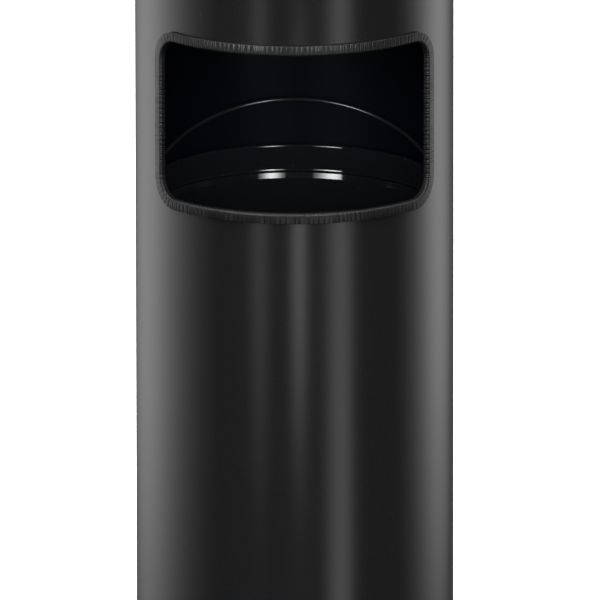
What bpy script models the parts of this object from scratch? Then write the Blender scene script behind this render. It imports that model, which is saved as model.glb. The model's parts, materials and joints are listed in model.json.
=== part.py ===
"""Round ash and litter bin: a sheet steel shell with a trimmed waste mouth, a lift-out liner and an ash bowl.

Metres, +Z up. The origin is the middle of the base on the floor, and the waste mouth faces -Y.
"""

import math

import bmesh
import bpy
from mathutils import Matrix, Vector

# Overall sizes
SHELL_DIAMETER = 0.260
TOTAL_HEIGHT = 0.620

# Fits
FIT_GAP = 0.0003
ROUND_STEPS = 60
RIVET_STEPS = 12
MERGE_DISTANCE = 0.00005
SMOOTH_ANGLE = math.radians(35)

# Rivet outline, as shares of the head's radius, the head's height and the tail's radius
RIVET_CROWN = 0.62
RIVET_SHOULDER = 0.82
RIVET_TAIL_TIP = 0.7

# Outer shell
SHELL_SHEET = 0.001
HEM_HEIGHT = 0.012
HEM_SHEET = 0.0011

# Waste mouth: its width is the arc length on the outside of the shell
MOUTH_WIDTH = 0.2564
MOUTH_HEIGHT = 0.1373
MOUTH_CORNER = 0.020
MOUTH_TOP_DROP = 0.0975
MOUTH_EDGE_PARTS = 18
MOUTH_CORNER_PARTS = 4
CUTTER_OVERRUN = 0.006

# Edge trim and the steel clip core inside it
TRIM_LEG = 0.006
TRIM_WALL = 0.0014
TRIM_ROUND = 0.0007
TRIM_JOINT_OFFSET = 0.0076
TRIM_JOINT_GAP = 0.0005
CLIP_SHEET = 0.0005
CLIP_SETBACK = 0.0008

# Base ring and base plate
RING_FLOOR = 0.003
RING_WALL = 0.0032
RING_HEIGHT = 0.0132
RING_FOOT = 0.0125
RING_CHAMFER = 0.001
PLATE_SHEET = 0.001
PLATE_HEIGHT = 0.018
PLATE_BEND = 0.002
PLATE_RECESS_DEPTH = 0.003
PLATE_RECESS_MARGIN = 0.034

# Base rivets
BASE_RIVET_COUNT = 4
BASE_RIVET_HEIGHT = 0.0075
BASE_RIVET_SHANK = 0.0019
BASE_RIVET_HEAD = 0.0035
BASE_RIVET_HEAD_HEIGHT = 0.0012
BASE_RIVET_TAIL = 0.003
BASE_RIVET_TAIL_HEIGHT = 0.0022

# Bail handle and its lugs
WIRE_RADIUS = 0.00175
BAIL_LEG = 0.0171
BAIL_BEND = 0.004
BAIL_SIDE_CLEARANCE = 0.00355
BAIL_EAR_CLEARANCE = 0.00095
BAIL_REST_GAP = 0.0005
BAIL_HEAD = 1.6
BAIL_HEAD_LENGTH = 0.0017
BAIL_ARC_PARTS = 36
BAIL_BEND_PARTS = 4
BAIL_HEAD_STEP = 0.0001
PIVOT_CLEARANCE = 0.00025
EAR_SHEET = 0.0012
EAR_WIDTH = 0.014
EAR_ABOVE_PIVOT = 0.004
EAR_BELOW_PIVOT = 0.029
EAR_SWAGE_CLEARANCE = 0.0011
EAR_CORNER = 0.0035
EAR_RIVET_DROPS = (0.011, 0.023)
EAR_RIVET_SHANK = 0.0015
EAR_RIVET_HEAD = 0.0032
EAR_RIVET_HEAD_HEIGHT = 0.0012
EAR_RIVET_TAIL = 0.0024
EAR_RIVET_TAIL_HEIGHT = 0.0012
RIVET_HOLE_CLEARANCE = 0.0003

# Liner
LINER_SHEET = 0.0008
RIM_DROP = 0.0070
RIM_BEAD = 0.0018
SWAGE_DROP = 0.0231
SWAGE_HEIGHT = 0.0081
SWAGE_DEPTH = 0.0016
SWAGE_STEP = 0.0032
LINER_SEAM = 0.0012
LINER_SEAM_HEIGHT = 0.004
LINER_FLOOR_LIFT = 0.002
LINER_FLOOR_FLANGE = 0.0085
LINER_FLOOR_BEND = 0.001

# Ash bowl and sand
BOWL_SHEET = 0.0012
BOWL_DEPTH = 0.060
BOWL_SEAT_CLEARANCE = 0.0010
BOWL_TAPER = 0.006
BOWL_FILLET = 0.008
BOWL_LIP_DROP = 0.010
BOWL_LIP_CLEARANCE = 0.0023
BOWL_ROUND = 0.0018
SAND_BELOW_RIM = 0.018
SAND_CROWN = 0.003
SAND_SHOULDER = 0.75

# Worked out from the sizes above
SHELL_OUT = SHELL_DIAMETER / 2
SHELL_IN = SHELL_OUT - SHELL_SHEET
SHELL_BOTTOM = RING_FLOOR + FIT_GAP
SHELL_TOP = TOTAL_HEIGHT - BOWL_SHEET - FIT_GAP
HEM_IN = SHELL_IN - HEM_SHEET

MOUTH_TOP = SHELL_TOP - MOUTH_TOP_DROP
MOUTH_BOTTOM = MOUTH_TOP - MOUTH_HEIGHT
MOUTH_MIDDLE = (MOUTH_TOP + MOUTH_BOTTOM) / 2

PLATE_OUT = SHELL_IN - FIT_GAP
LINER_BOTTOM = PLATE_HEIGHT + FIT_GAP
LINER_TOP = MOUTH_BOTTOM - RIM_DROP

BAIL_RADIUS = SHELL_IN - BAIL_SIDE_CLEARANCE - WIRE_RADIUS
RIVET_HEAD_FACE = BAIL_RADIUS - WIRE_RADIUS - BAIL_EAR_CLEARANCE
EAR_OUT = RIVET_HEAD_FACE - EAR_RIVET_HEAD_HEIGHT - FIT_GAP
EAR_IN = EAR_OUT - EAR_SHEET
LINER_OUT = EAR_IN - FIT_GAP
LINER_IN = LINER_OUT - LINER_SHEET
PIVOT_DROP = SWAGE_DROP + SWAGE_HEIGHT + EAR_SWAGE_CLEARANCE + EAR_ABOVE_PIVOT
PIVOT_HEIGHT = LINER_TOP - PIVOT_DROP
REST_REACH = SHELL_IN - WIRE_RADIUS - BAIL_REST_GAP
BAIL_LEAN = math.atan2(BAIL_LEG, math.sqrt(REST_REACH**2 - BAIL_RADIUS**2))

DISH_OUT = HEM_IN - BOWL_SEAT_CLEARANCE
LIP_IN = SHELL_OUT + BOWL_LIP_CLEARANCE
LIP_OUT = LIP_IN + BOWL_SHEET


def clear_scene():
    for item in list(bpy.data.objects):
        bpy.data.objects.remove(item)


def new_material(name, colour, roughness, metallic):
    finish = bpy.data.materials.new(name)
    finish.use_nodes = True
    shader = finish.node_tree.nodes["Principled BSDF"]
    shader.inputs["Base Color"].default_value = (*colour, 1.0)
    shader.inputs["Roughness"].default_value = roughness
    shader.inputs["Metallic"].default_value = metallic
    return finish


def new_frame(name, height, lean=0.0):
    """An empty that a group of pieces hangs on."""
    frame = bpy.data.objects.new(name, None)
    frame.location = (0, 0, height)
    frame.rotation_euler = (lean, 0, 0)
    bpy.context.scene.collection.objects.link(frame)
    return frame


def new_object(name, data, finish=None, frame=None):
    item = bpy.data.objects.new(name, data)
    if finish:
        data.materials.append(finish)
    bpy.context.scene.collection.objects.link(item)
    item.parent = frame
    return item


def mesh_of(name, shape):
    """The mesh of a bmesh, with its faces turned outwards."""
    bmesh.ops.recalc_face_normals(shape, faces=shape.faces)
    mesh = bpy.data.meshes.new(name)
    shape.to_mesh(mesh)
    shape.free()
    return mesh


def smooth(mesh):
    mesh.shade_smooth()
    mesh.set_sharp_from_angle(angle=SMOOTH_ANGLE)


def arc(centre, radius, start, end, parts):
    """Points (r, z) on an arc, with angles in degrees counted from +r towards +z."""
    angles = [math.radians(start + (end - start) * i / parts) for i in range(parts + 1)]
    return [(centre[0] + radius * math.cos(a), centre[1] + radius * math.sin(a)) for a in angles]


def turned(name, profile, finish, frame, closed, steps=ROUND_STEPS):
    """A profile of (r, z) points turned once round the Z axis of its frame."""
    mesh = bpy.data.meshes.new(name)
    edges = [(i, i + 1) for i in range(len(profile) - 1)]
    if closed:
        edges.append((len(profile) - 1, 0))
    mesh.from_pydata([(r, 0, z) for r, z in profile], edges, [])
    item = new_object(name, mesh, finish, frame)
    turn = item.modifiers.new("turn", "SCREW")
    turn.axis = "Z"
    turn.angle = math.tau
    turn.steps = steps
    turn.render_steps = steps
    turn.use_merge_vertices = True
    turn.merge_threshold = MERGE_DISTANCE
    turn.use_smooth_shade = True
    return item


def cut(item, cutter):
    cutter.hide_render = True
    cutter.display_type = "WIRE"
    hole = item.modifiers.new("cut_" + cutter.name, "BOOLEAN")
    hole.operation = "DIFFERENCE"
    hole.object = cutter


def drill_cutter(name, holes, radius, frame=None):
    """One cutter of round bars, each from its start point to its end point."""
    shape = bmesh.new()
    for start, end in holes:
        along = Vector(end) - Vector(start)
        turn = along.to_track_quat("Z", "X").to_matrix().to_4x4()
        middle = (Vector(start) + Vector(end)) / 2
        bmesh.ops.create_cone(
            shape,
            cap_ends=True,
            segments=RIVET_STEPS,
            radius1=radius,
            radius2=radius,
            depth=along.length,
            matrix=Matrix.Translation(middle) @ turn,
        )
    return new_object(name, mesh_of(name, shape), frame=frame)


def rivet(name, place, outward, sizes, finish, frame):
    """A rivet with its head's underside at place and its head towards outward.

    sizes is head radius, head height, shank radius, grip, tail radius and tail height.
    """
    head, head_height, shank, grip, tail, tail_height = sizes
    profile = [
        (0, head_height),
        (head * RIVET_CROWN, head_height * RIVET_SHOULDER),
        (head, 0),
        (shank, 0),
        (shank, -grip),
        (tail, -grip),
        (tail * RIVET_TAIL_TIP, -grip - tail_height),
        (0, -grip - tail_height),
    ]
    item = turned(name, profile, finish, frame, closed=False, steps=RIVET_STEPS)
    item.location = place
    item.rotation_mode = "QUATERNION"
    item.rotation_quaternion = Vector(outward).to_track_quat("Z", "X")
    return item


def on_wall(across, height, radius):
    """The place on a round wall at an arc length from the middle of the mouth."""
    angle = across / SHELL_OUT
    return (radius * math.sin(angle), -radius * math.cos(angle), height)


def mouth_columns():
    """Arc lengths across the mouth with the half height of the mouth at each."""
    flat = MOUTH_WIDTH / 2 - MOUTH_CORNER
    side = MOUTH_HEIGHT / 2 - MOUTH_CORNER
    corner = arc((flat, side), MOUTH_CORNER, 90, 0, MOUTH_CORNER_PARTS)
    edge = [(-flat + 2 * flat * i / MOUTH_EDGE_PARTS, MOUTH_HEIGHT / 2) for i in range(1, MOUTH_EDGE_PARTS)]
    left = [(-across, half) for across, half in reversed(corner)]
    return left + edge + corner


def mouth_cutter():
    """The mouth's outline carried straight through the wall."""
    shape = bmesh.new()
    rings = []
    for across, half in mouth_columns():
        corners = (
            (MOUTH_MIDDLE - half, SHELL_IN - CUTTER_OVERRUN),
            (MOUTH_MIDDLE + half, SHELL_IN - CUTTER_OVERRUN),
            (MOUTH_MIDDLE + half, SHELL_OUT + CUTTER_OVERRUN),
            (MOUTH_MIDDLE - half, SHELL_OUT + CUTTER_OVERRUN),
        )
        rings.append([shape.verts.new(on_wall(across, z, radius)) for z, radius in corners])
    for ring, following in zip(rings, rings[1:]):
        for i in range(4):
            j = (i + 1) % 4
            shape.faces.new((ring[i], ring[j], following[j], following[i]))
    shape.faces.new(rings[0])
    shape.faces.new(rings[-1])
    return new_object("mouth_cutter", mesh_of("mouth_cutter", shape))


def mouth_path():
    """(across, height, outward across, outward height) once round the mouth's edge, from the trim's joint."""
    flat = MOUTH_WIDTH / 2 - MOUTH_CORNER
    side = MOUTH_HEIGHT / 2 - MOUTH_CORNER
    path = []
    corners = ((flat, -side, -90), (flat, side, 0), (-flat, side, 90), (-flat, -side, 180))
    for across, height, start in corners:
        for i in range(MOUTH_CORNER_PARTS + 1):
            angle = math.radians(start + 90 * i / MOUTH_CORNER_PARTS)
            out = (math.cos(angle), math.sin(angle))
            path.append((across + MOUTH_CORNER * out[0], height + MOUTH_CORNER * out[1], *out))
    top = 2 * (MOUTH_CORNER_PARTS + 1)
    over = [
        (flat - 2 * flat * i / MOUTH_EDGE_PARTS, MOUTH_HEIGHT / 2, 0, 1) for i in range(1, MOUTH_EDGE_PARTS)
    ]
    path = path[:top] + over + path[top:]
    first = TRIM_JOINT_OFFSET + TRIM_JOINT_GAP / 2
    last = TRIM_JOINT_OFFSET - TRIM_JOINT_GAP / 2
    half_parts = MOUTH_EDGE_PARTS // 2
    low = -MOUTH_HEIGHT / 2
    right = [(first + (flat - first) * i / half_parts, low, 0, -1) for i in range(half_parts)]
    left = [(-flat + (last + flat) * i / half_parts, low, 0, -1) for i in range(1, half_parts + 1)]
    return right + path + left


def swept_round_mouth(name, profile, finish, frame):
    """A profile of (into the sheet, radius) points carried round the mouth, with flat ends at the joint."""
    shape = bmesh.new()
    rings = []
    for across, height, out_across, out_height in mouth_path():
        ring = [
            shape.verts.new(
                on_wall(across + inset * out_across, MOUTH_MIDDLE + height + inset * out_height, radius)
            )
            for inset, radius in profile
        ]
        rings.append(ring)
    count = len(profile)
    for ring, following in zip(rings, rings[1:]):
        for i in range(count):
            j = (i + 1) % count
            shape.faces.new((ring[i], ring[j], following[j], following[i]))
    shape.faces.new(rings[0])
    shape.faces.new(rings[-1])
    mesh = mesh_of(name, shape)
    smooth(mesh)
    return new_object(name, mesh, finish, frame)


def outer_shell(finish, frame):
    """A rolled tube whose top edge is folded in and down to a hem."""
    fold = (SHELL_OUT - HEM_IN) / 2
    profile = arc((HEM_IN + fold, SHELL_TOP - fold), fold, 90, 0, 2)
    profile += [(SHELL_OUT, SHELL_BOTTOM), (SHELL_IN, SHELL_BOTTOM)]
    profile += [(SHELL_IN, SHELL_TOP - HEM_HEIGHT), (HEM_IN, SHELL_TOP - HEM_HEIGHT)]
    profile += arc((HEM_IN + fold, SHELL_TOP - fold), fold, 180, 90, 2)[:-1]
    shell = turned("outer_shell", profile, finish, frame, closed=True)
    cut(shell, mouth_cutter())
    return shell


def trim_radii(layers):
    """Outer and inner radius of the face that lies this far off the sheet."""
    return SHELL_OUT + layers, SHELL_IN - layers


def clip_core(finish, frame):
    near = FIT_GAP
    far = near + CLIP_SHEET
    end = TRIM_LEG - CLIP_SETBACK
    outer_far, inner_far = trim_radii(far)
    outer_near, inner_near = trim_radii(near)
    profile = [(end, outer_far), (-far, outer_far), (-far, inner_far), (end, inner_far)]
    profile += [(end, inner_near), (-near, inner_near), (-near, outer_near), (end, outer_near)]
    return swept_round_mouth("trim_clip_core", profile, finish, frame)


def edge_trim(finish, frame):
    near = FIT_GAP + CLIP_SHEET + FIT_GAP
    far = near + TRIM_WALL
    outer_far, inner_far = trim_radii(far)
    outer_near, inner_near = trim_radii(near)
    profile = [
        (TRIM_LEG - TRIM_ROUND, outer_far),
        (-far + TRIM_ROUND, outer_far),
        (-far, outer_far - TRIM_ROUND),
        (-far, inner_far + TRIM_ROUND),
        (-far + TRIM_ROUND, inner_far),
        (TRIM_LEG - TRIM_ROUND, inner_far),
        (TRIM_LEG, inner_far + TRIM_ROUND),
        (TRIM_LEG, inner_near),
        (-near, inner_near),
        (-near, outer_near),
        (TRIM_LEG, outer_near),
        (TRIM_LEG, outer_far - TRIM_ROUND),
    ]
    return swept_round_mouth("edge_trim", profile, finish, frame)


def base_ring(finish, frame):
    """A floor ring that the shell's lower edge stands in."""
    inner = SHELL_OUT + FIT_GAP
    outer = inner + RING_WALL
    profile = [
        (inner + RING_CHAMFER / 2, RING_HEIGHT),
        (outer - RING_CHAMFER, RING_HEIGHT),
        (outer, RING_HEIGHT - RING_CHAMFER),
        (outer, RING_CHAMFER),
        (outer - RING_CHAMFER, 0),
        (outer - RING_FOOT, 0),
        (outer - RING_FOOT, RING_FLOOR),
        (inner, RING_FLOOR),
        (inner, RING_HEIGHT - RING_CHAMFER / 2),
    ]
    return turned("base_ring", profile, finish, frame, closed=True)


def base_plate(finish, frame):
    """A pan with a turned-down flange and a shallow recess that stiffens it."""
    flange_in = PLATE_OUT - PLATE_SHEET
    under = PLATE_HEIGHT - PLATE_SHEET
    recess = PLATE_OUT - PLATE_RECESS_MARGIN
    step = PLATE_RECESS_DEPTH
    profile = [(0, PLATE_HEIGHT - step), (recess - step, PLATE_HEIGHT - step), (recess, PLATE_HEIGHT)]
    profile += arc((PLATE_OUT - PLATE_BEND, PLATE_HEIGHT - PLATE_BEND), PLATE_BEND, 90, 0, 2)
    profile += [(PLATE_OUT, SHELL_BOTTOM), (flange_in, SHELL_BOTTOM)]
    profile += arc((PLATE_OUT - PLATE_BEND, PLATE_HEIGHT - PLATE_BEND), PLATE_BEND - PLATE_SHEET, 0, 90, 1)
    recess_under = recess + PLATE_SHEET / 2
    profile += [(recess_under, under), (recess_under - step, under - step), (0, under - step)]
    return turned("base_plate", profile, finish, frame, closed=False)


def base_rivet_angles():
    return [math.tau * (i + 0.5) / BASE_RIVET_COUNT for i in range(BASE_RIVET_COUNT)]


def base_bars(start, end):
    """Radial bars at the base rivets, between two radii."""
    bars = []
    for angle in base_rivet_angles():
        out = Vector((math.cos(angle), math.sin(angle), 0))
        up = Vector((0, 0, BASE_RIVET_HEIGHT))
        bars.append((out * start + up, out * end + up))
    return bars


def base_rivets(shell, ring, plate, finish, frame):
    """Rivets through ring, shell and plate, with heads sunk in the ring."""
    ring_out = SHELL_OUT + FIT_GAP + RING_WALL
    head_under = ring_out - FIT_GAP - BASE_RIVET_HEAD_HEIGHT
    grip = head_under - (PLATE_OUT - PLATE_SHEET - FIT_GAP)
    hole = BASE_RIVET_SHANK + RIVET_HOLE_CLEARANCE
    tail_end = head_under - grip - BASE_RIVET_TAIL_HEIGHT
    through = drill_cutter("base_rivet_holes", base_bars(tail_end, ring_out + CUTTER_OVERRUN), hole)
    sink_floor = head_under - FIT_GAP
    sink_radius = BASE_RIVET_HEAD + RIVET_HOLE_CLEARANCE
    sinks = drill_cutter("base_rivet_sinks", base_bars(sink_floor, ring_out + CUTTER_OVERRUN), sink_radius)
    for item in (shell, ring, plate):
        cut(item, through)
    cut(ring, sinks)
    sizes = (
        BASE_RIVET_HEAD,
        BASE_RIVET_HEAD_HEIGHT,
        BASE_RIVET_SHANK,
        grip,
        BASE_RIVET_TAIL,
        BASE_RIVET_TAIL_HEIGHT,
    )
    for i, angle in enumerate(base_rivet_angles()):
        out = Vector((math.cos(angle), math.sin(angle), 0))
        place = out * head_under + Vector((0, 0, BASE_RIVET_HEIGHT))
        rivet(f"base_rivet_{i + 1}", place, out, sizes, finish, frame)


def liner_body(finish, frame):
    """The liner's wall: a beaded rim, a swage that steps out and slopes back, and a seam at the bottom."""
    top = LINER_TOP - LINER_BOTTOM
    bead = (LINER_IN + RIM_BEAD, top - RIM_BEAD)
    swage = top - SWAGE_DROP
    swage_out = LINER_OUT + SWAGE_DEPTH
    swage_in = LINER_IN + SWAGE_DEPTH
    step = swage - SWAGE_STEP
    foot = swage - SWAGE_HEIGHT
    seam_out = LINER_OUT + LINER_SEAM
    profile = arc(bead, RIM_BEAD, 90, -90, 4)
    profile += [(LINER_OUT, top - 2 * RIM_BEAD)]
    profile += [(LINER_OUT, swage), (swage_out, step), (LINER_OUT, foot)]
    profile += [(LINER_OUT, LINER_SEAM_HEIGHT), (seam_out, LINER_SEAM_HEIGHT - LINER_SEAM), (seam_out, 0)]
    profile += [(LINER_IN, 0), (LINER_IN, foot), (swage_in, step), (LINER_IN, swage)]
    profile += arc(bead, RIM_BEAD, 180, 90, 2)[:-1]
    return turned("liner_body", profile, finish, frame, closed=True)


def liner_floor(finish, frame):
    """A pan pressed into the bottom of the liner, flange up."""
    outer = LINER_IN - FIT_GAP
    lift = LINER_FLOOR_LIFT
    inner = outer - LINER_SHEET
    top = lift + LINER_SHEET
    bend = LINER_FLOOR_BEND
    rim = lift + LINER_FLOOR_FLANGE
    profile = [(0, top), (inner - bend, top), (inner, top + bend), (inner, rim)]
    profile += [(outer, rim), (outer, lift + bend), (outer - bend, lift), (0, lift)]
    return turned("liner_floor", profile, finish, frame, closed=False)


def ear_plate(name, side, finish, frame):
    """A rounded lug, flat against the liner's side."""
    middle = (EAR_ABOVE_PIVOT - EAR_BELOW_PIVOT) / 2
    half_width = EAR_WIDTH / 2 - EAR_CORNER
    half_height = (EAR_ABOVE_PIVOT + EAR_BELOW_PIVOT) / 2 - EAR_CORNER
    outline = []
    corners = ((half_width, half_height, 0), (-half_width, half_height, 90))
    corners += ((-half_width, -half_height, 180), (half_width, -half_height, 270))
    for y, z, start in corners:
        outline += arc((y, middle + z), EAR_CORNER, start, start + 90, 4)
    shape = bmesh.new()
    face = shape.faces.new([shape.verts.new((side * EAR_IN, y, z)) for y, z in outline])
    grown = bmesh.ops.extrude_face_region(shape, geom=[face])
    moved = [v for v in grown["geom"] if isinstance(v, bmesh.types.BMVert)]
    bmesh.ops.translate(shape, verts=moved, vec=(side * EAR_SHEET, 0, 0))
    mesh = mesh_of(name, shape)
    smooth(mesh)
    return new_object(name, mesh, finish, frame)


def side_bars(drop):
    """A bar through both sides of the liner, this far below the bail's pivot."""
    reach = EAR_OUT + CUTTER_OVERRUN
    inner = LINER_IN - CUTTER_OVERRUN
    return [((side * inner, 0, -drop), (side * reach, 0, -drop)) for side in (-1, 1)]


def ears(liner, finish, rivet_finish, frame):
    """Both lugs with their rivets, and the holes in the lugs and in the liner's wall."""
    pivot_holes = drill_cutter("pivot_holes", side_bars(0), WIRE_RADIUS + PIVOT_CLEARANCE, frame)
    rivet_bars = side_bars(EAR_RIVET_DROPS[0]) + side_bars(EAR_RIVET_DROPS[1])
    rivet_holes = drill_cutter("ear_rivet_holes", rivet_bars, EAR_RIVET_SHANK + RIVET_HOLE_CLEARANCE, frame)
    head_under = EAR_OUT + FIT_GAP
    grip = head_under - (LINER_IN - FIT_GAP)
    sizes = (
        EAR_RIVET_HEAD,
        EAR_RIVET_HEAD_HEIGHT,
        EAR_RIVET_SHANK,
        grip,
        EAR_RIVET_TAIL,
        EAR_RIVET_TAIL_HEIGHT,
    )
    pieces = [liner]
    for side, word in ((-1, "left"), (1, "right")):
        pieces.append(ear_plate(f"bail_ear_{word}", side, finish, frame))
        for drop, level in zip(EAR_RIVET_DROPS, ("upper", "lower")):
            place = (side * head_under, 0, -drop)
            rivet(f"ear_rivet_{word}_{level}", place, (side, 0, 0), sizes, rivet_finish, frame)
    for item in pieces:
        cut(item, pivot_holes)
        cut(item, rivet_holes)


def bail_path():
    """(x, reach, thickness factor) along the wire, from one headed end over the arc to the other."""
    head_face = LINER_IN - FIT_GAP
    head_end = head_face - BAIL_HEAD_LENGTH
    end = [(head_end, 0, BAIL_HEAD), (head_face, 0, BAIL_HEAD), (head_face + BAIL_HEAD_STEP, 0, 1)]
    bend = arc((BAIL_RADIUS - BAIL_BEND, BAIL_BEND), BAIL_BEND, -90, 0, BAIL_BEND_PARTS)
    end += [(x, reach, 1) for x, reach in bend]
    over = [(x, reach, 1) for x, reach in arc((0, BAIL_LEG), BAIL_RADIUS, 0, 180, BAIL_ARC_PARTS)]
    return end + over + [(-x, reach, factor) for x, reach, factor in reversed(end)]


def bail_handle(finish, frame):
    """Round wire bent to a bail, with its ends turned in and headed."""
    curve = bpy.data.curves.new("bail_handle", "CURVE")
    curve.dimensions = "3D"
    curve.bevel_depth = WIRE_RADIUS
    curve.bevel_resolution = 2
    curve.use_fill_caps = True
    path = bail_path()
    spline = curve.splines.new("POLY")
    spline.points.add(len(path) - 1)
    for point, (x, reach, factor) in zip(spline.points, path):
        point.co = (x, reach, 0, 1)
        point.radius = factor
    return new_object("bail_handle", curve, finish, frame)


def dish_radius(height):
    """Outer radius of the dish's tapered wall at a height below the flange."""
    return DISH_OUT - BOWL_TAPER * height / BOWL_DEPTH


def ash_bowl(finish, frame):
    """A flanged dish that hangs in the shell's top with its lip round the outside."""
    flange_top = BOWL_SHEET + FIT_GAP
    flange_under = FIT_GAP
    depth = BOWL_DEPTH
    floor_out = dish_radius(depth)
    round_in = BOWL_ROUND - BOWL_SHEET
    lip_centre = (LIP_OUT - BOWL_ROUND, flange_top - BOWL_ROUND)
    top_in = DISH_OUT - BOWL_SHEET
    fillet_centre = (floor_out - BOWL_FILLET, flange_top - depth + BOWL_FILLET)
    floor_top = flange_top - depth + BOWL_SHEET
    profile = [(0, floor_top)]
    profile += arc(fillet_centre, BOWL_FILLET - BOWL_SHEET, -90, 0, 3)
    profile += arc((top_in + BOWL_ROUND, flange_top - BOWL_ROUND), BOWL_ROUND, 180, 90, 3)
    profile += arc(lip_centre, BOWL_ROUND, 90, 0, 3)
    profile += [(LIP_OUT, flange_top - BOWL_LIP_DROP), (LIP_IN, flange_top - BOWL_LIP_DROP)]
    profile += arc(lip_centre, round_in, 0, 90, 2)
    profile += arc((top_in + BOWL_ROUND, flange_top - BOWL_ROUND), round_in, 90, 180, 2)
    profile += arc(fillet_centre, BOWL_FILLET, 0, -90, 3)
    profile += [(0, flange_top - depth)]
    return turned("ash_bowl", profile, finish, frame, closed=False)


def sand_bed(finish, frame):
    """Sand that fills the dish, a little proud in the middle."""
    flange_top = BOWL_SHEET + FIT_GAP
    floor_top = flange_top - BOWL_DEPTH + BOWL_SHEET + FIT_GAP
    surface = flange_top - SAND_BELOW_RIM
    floor_out = dish_radius(BOWL_DEPTH)
    fillet_centre = (floor_out - BOWL_FILLET, flange_top - BOWL_DEPTH + BOWL_FILLET)
    fillet = BOWL_FILLET - BOWL_SHEET - FIT_GAP
    wall_top = (DISH_OUT - BOWL_SHEET, flange_top - BOWL_ROUND)
    wall_foot = (fillet_centre[0] + BOWL_FILLET - BOWL_SHEET, fillet_centre[1])
    slope = (wall_top[0] - wall_foot[0]) / (wall_top[1] - wall_foot[1])
    edge = wall_foot[0] + slope * (surface - wall_foot[1]) - 2 * FIT_GAP
    profile = [(0, surface + SAND_CROWN), (edge / 2, surface + SAND_CROWN * SAND_SHOULDER), (edge, surface)]
    profile += arc(fillet_centre, fillet, 0, -90, 3)
    profile += [(0, floor_top)]
    return turned("sand_bed", profile, finish, frame, closed=False)


def build():
    clear_scene()
    charcoal = new_material("charcoal_paint", (0.030, 0.031, 0.033), 0.32, 0.35)
    gloss_black = new_material("gloss_black_paint", (0.006, 0.006, 0.008), 0.12, 0.0)
    trim_black = new_material("trim_plastic", (0.022, 0.022, 0.024), 0.45, 0.0)
    ring_black = new_material("ring_plastic", (0.018, 0.018, 0.019), 0.55, 0.0)
    bare_steel = new_material("bare_steel", (0.42, 0.42, 0.43), 0.35, 1.0)
    wire_black = new_material("wire_paint", (0.012, 0.012, 0.014), 0.2, 0.1)
    sand = new_material("sand", (0.62, 0.55, 0.42), 0.95, 0.0)

    shell_frame = new_frame("shell_frame", 0)
    liner_frame = new_frame("liner_frame", LINER_BOTTOM)
    ear_frame = new_frame("ear_frame", PIVOT_HEIGHT)
    bail_frame = new_frame("bail_frame", PIVOT_HEIGHT, BAIL_LEAN)
    bowl_frame = new_frame("bowl_frame", SHELL_TOP)

    shell = outer_shell(charcoal, shell_frame)
    clip_core(bare_steel, shell_frame)
    edge_trim(trim_black, shell_frame)
    ring = base_ring(ring_black, shell_frame)
    plate = base_plate(charcoal, shell_frame)
    base_rivets(shell, ring, plate, bare_steel, shell_frame)

    liner = liner_body(gloss_black, liner_frame)
    liner_floor(gloss_black, liner_frame)
    ears(liner, gloss_black, bare_steel, ear_frame)
    bail_handle(wire_black, bail_frame)

    ash_bowl(charcoal, bowl_frame)
    sand_bed(sand, bowl_frame)


build()
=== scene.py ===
"""Looks of the round ash and litter bin: fine surfaces, finishes, lights and camera around the fixed frame.

Metres, +Z up. The waste mouth faces -Y. Angles round the bin are counted from -Y towards +X, and an arc
length "across" is such an angle times the shell's radius. A profile is a line of (radius, height) points.
"""

import json
import math

import bmesh
import bpy
import numpy as np
from mathutils import Matrix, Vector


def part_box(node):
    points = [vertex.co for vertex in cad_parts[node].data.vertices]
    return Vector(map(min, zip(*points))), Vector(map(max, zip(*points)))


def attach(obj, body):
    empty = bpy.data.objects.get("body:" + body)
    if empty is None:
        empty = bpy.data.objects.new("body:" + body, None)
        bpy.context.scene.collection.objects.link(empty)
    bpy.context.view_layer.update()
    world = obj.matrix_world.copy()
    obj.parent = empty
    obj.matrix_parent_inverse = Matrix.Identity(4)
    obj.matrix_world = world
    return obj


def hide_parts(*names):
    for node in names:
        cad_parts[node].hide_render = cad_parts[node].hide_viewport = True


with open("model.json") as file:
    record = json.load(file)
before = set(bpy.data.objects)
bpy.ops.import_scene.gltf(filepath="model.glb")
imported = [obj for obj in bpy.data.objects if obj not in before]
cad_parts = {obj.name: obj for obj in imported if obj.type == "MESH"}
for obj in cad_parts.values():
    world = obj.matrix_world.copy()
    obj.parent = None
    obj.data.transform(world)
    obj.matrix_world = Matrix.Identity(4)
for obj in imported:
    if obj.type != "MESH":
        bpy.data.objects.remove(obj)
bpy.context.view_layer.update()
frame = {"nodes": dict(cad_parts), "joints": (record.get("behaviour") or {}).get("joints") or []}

# Fineness of the surfaces
ROUND_COLUMNS = 240
ARC_PARTS = 7
SUPPORT = 0.0004
MERGE_DISTANCE = 1e-6
SHARP_ANGLE = math.radians(40)

# Sheet, gaps and fillets that the boxes of the nodes don't show
FIT_GAP = 0.0003
SHELL_SHEET = 0.001
HEM_HEIGHT = 0.012
FOLD_RADIUS = 0.00105
MOUTH_CORNER = 0.020
TRIM_LEG = 0.006
TRIM_ROUND = 0.0007
LINER_SHEET = 0.0008
WIRE_RADIUS = 0.00175

# Places and sizes read from the nodes
SHELL_LOW, SHELL_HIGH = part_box("outer_shell")
TRIM_LOW, TRIM_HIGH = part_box("edge_trim")
LINER_LOW, LINER_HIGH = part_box("liner_body")
RING_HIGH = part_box("base_ring")[1]
PLATE_LOW, PLATE_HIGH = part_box("base_plate")
FLOOR_LOW, FLOOR_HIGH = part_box("liner_floor")
BOWL_LOW, BOWL_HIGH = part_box("ash_bowl")
SAND_LOW, SAND_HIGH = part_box("sand_bed")
PIVOT = next(j for j in frame["joints"] if j["name"] == "bail_swing")["pos_m"]

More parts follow.
